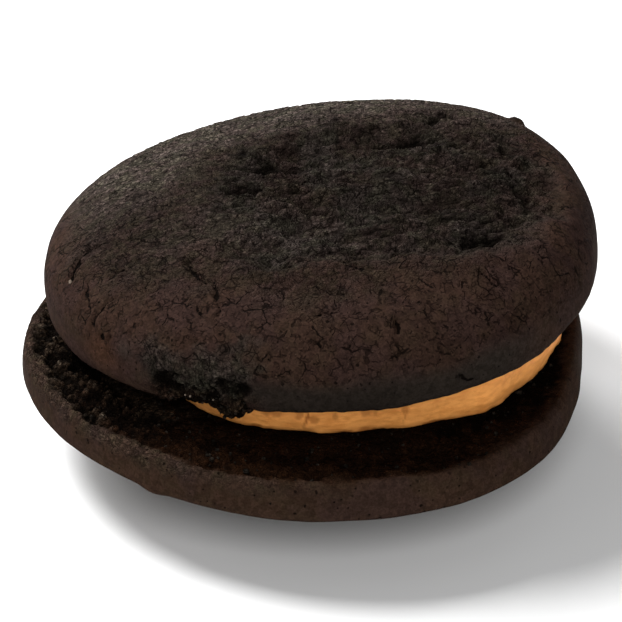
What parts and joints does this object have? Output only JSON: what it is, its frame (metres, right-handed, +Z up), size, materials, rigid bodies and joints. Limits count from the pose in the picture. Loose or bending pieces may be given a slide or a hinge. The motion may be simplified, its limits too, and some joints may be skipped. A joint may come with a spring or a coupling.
{
  "type": "whoopie pie",
  "caption": "Whoopie pie: two round dark chocolate cakes with a wedge of orange-tan filling, the upper cake tilted and set back on the lower one.",
  "frame": {"origin": "centre of the flat spot that the lower cake rests on", "axes": "+Z up, through the thickness of the pie; -Y towards the side where the lower cake's crumb shows; +X towards the side where the upper cake is raised"},
  "size_m": [0.0935, 0.0986, 0.0435],
  "materials": {
    "lower_cake": "matt, open dark crumb on top inside a smooth crust lip",
    "filling": "soft satin, smeared",
    "upper_cake": "matt, finely cracked baked crust"
  },
  "bodies": {
    "root": {"lower_cake": "lower_cake", "filling": "filling", "upper_cake": "upper_cake"}
  },
  "joints": []
}
